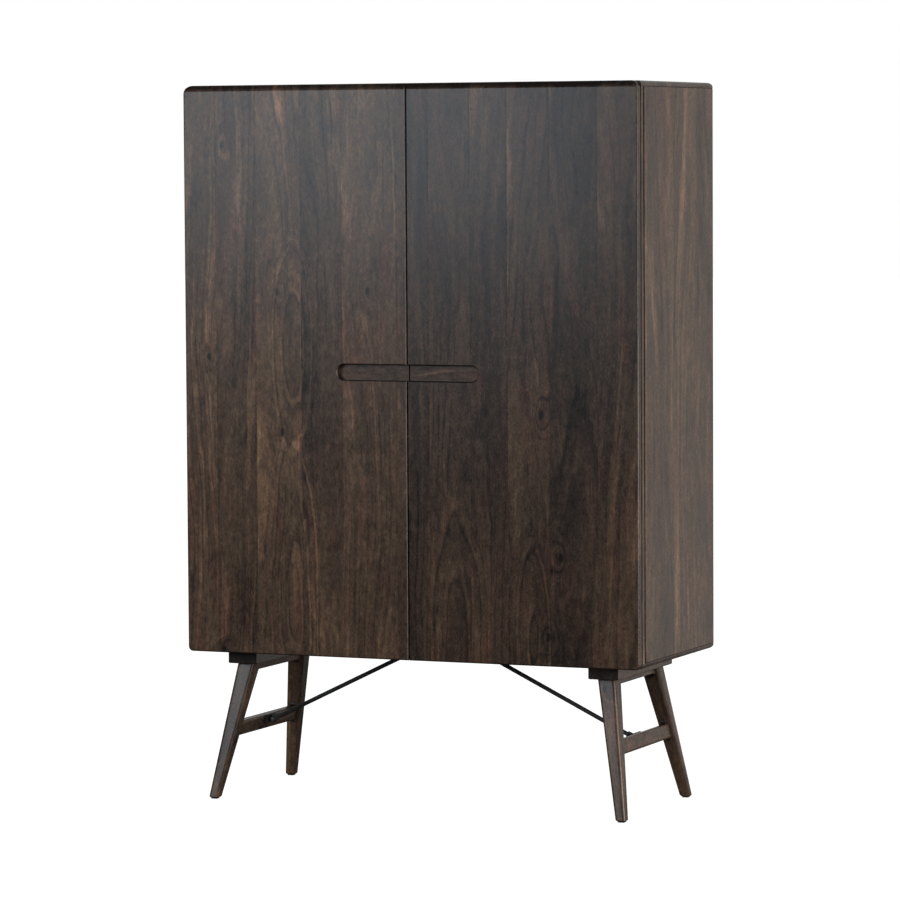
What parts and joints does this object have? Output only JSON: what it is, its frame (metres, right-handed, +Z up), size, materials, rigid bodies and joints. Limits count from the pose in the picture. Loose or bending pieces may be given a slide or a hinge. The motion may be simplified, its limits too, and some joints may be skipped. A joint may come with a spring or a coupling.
{
  "type": "bar cabinet",
  "caption": "Tall two-door bar cabinet on splayed leg frames, with a finger-pull slot, bottle and glass racks, and a hinged shelf that folds out from the door.",
  "frame": {"origin": "on the floor, under the middle of the closed cabinet's width and depth", "axes": "+Z up, -Y towards the person who opens the doors, +X to that person's right"},
  "size_m": [1.118, 0.482, 1.65],
  "materials": {
    "stained_wood": "satin lacquer over an espresso stain, on solid acacia staves",
    "inner_wood": "satin lacquer over a lighter brown stain",
    "black_steel": "matt black powder coat",
    "bright_steel": "nickel-plated, satin",
    "antique_brass": "aged, satin",
    "black_plastic": "matt"
  },
  "bodies": {
    "case": {"top_board": "stained_wood", "bottom_board": "stained_wood", "left_side_panel": "stained_wood", "right_side_panel": "stained_wood", "left_stile": "stained_wood", "right_stile": "stained_wood", "top_rail": "inner_wood", "bottom_rail": "inner_wood", "back_panel": "inner_wood", "counter_shelf": "inner_wood", "upper_shelf": "inner_wood", "lower_divider": "inner_wood", "lower_shelf": "inner_wood", "shelf_battens": "inner_wood", "glass_rails": "inner_wood", "bottle_row_1": "inner_wood", "bottle_row_2": "inner_wood", "bottle_row_3": "inner_wood", "catch_housings": "black_plastic", "catch_magnets": "bright_steel", "left_hinge_arms": "bright_steel", "right_hinge_arms": "bright_steel", "left_mounting_board": "inner_wood", "right_mounting_board": "inner_wood", "left_front_leg": "inner_wood", "left_back_leg": "inner_wood", "right_front_leg": "inner_wood", "right_back_leg": "inner_wood", "left_frame_rail": "inner_wood", "right_frame_rail": "inner_wood", "left_stretcher": "inner_wood", "right_stretcher": "inner_wood", "left_brace_rod": "black_steel", "right_brace_rod": "black_steel", "rod_brackets": "black_steel", "rod_bolts": "bright_steel", "foot_glides": "black_plastic"},
    "left_door": {"left_door_panel": "stained_wood", "left_pull_block": "inner_wood", "left_hinge_cups": "bright_steel", "left_strike_plate": "bright_steel"},
    "right_door": {"right_door_panel": "stained_wood", "right_pull_block": "inner_wood", "right_hinge_cups": "bright_steel", "right_strike_plate": "bright_steel", "shelf_cleat": "inner_wood", "shelf_hinge_plate": "antique_brass", "shelf_hinge_pin": "antique_brass", "shelf_catch": "stained_wood", "bracket_hinge_plate": "antique_brass", "bracket_hinge_pin": "antique_brass"},
    "fold_out_shelf": {"shelf_leaf": "inner_wood", "shelf_hinge_flap": "antique_brass", "shelf_strike": "bright_steel"},
    "shelf_bracket": {"bracket_post": "inner_wood", "bracket_arm": "inner_wood", "bracket_brace": "inner_wood", "bracket_hinge_flap": "antique_brass"}
  },
  "joints": [
    {"name": "left_door_hinge", "type": "hinge", "parent": "case", "child": "left_door", "pos_m": [-0.5515, -0.2285, 0.9975], "axis": [0, 0, -1], "range_deg": [0, 95]},
    {"name": "right_door_hinge", "type": "hinge", "parent": "case", "child": "right_door", "pos_m": [0.5515, -0.2285, 0.9975], "axis": [0, 0, 1], "range_deg": [0, 95]},
    {"name": "shelf_fold", "type": "hinge", "parent": "right_door", "child": "fold_out_shelf", "pos_m": [0.29, -0.2055, 1.0655], "axis": [-1, 0, 0], "range_deg": [0, 90]},
    {"name": "bracket_swing", "type": "hinge", "parent": "right_door", "child": "shelf_bracket", "pos_m": [0.262, -0.2195, 0.944], "axis": [0, 0, 1], "range_deg": [0, 90]}
  ]
}
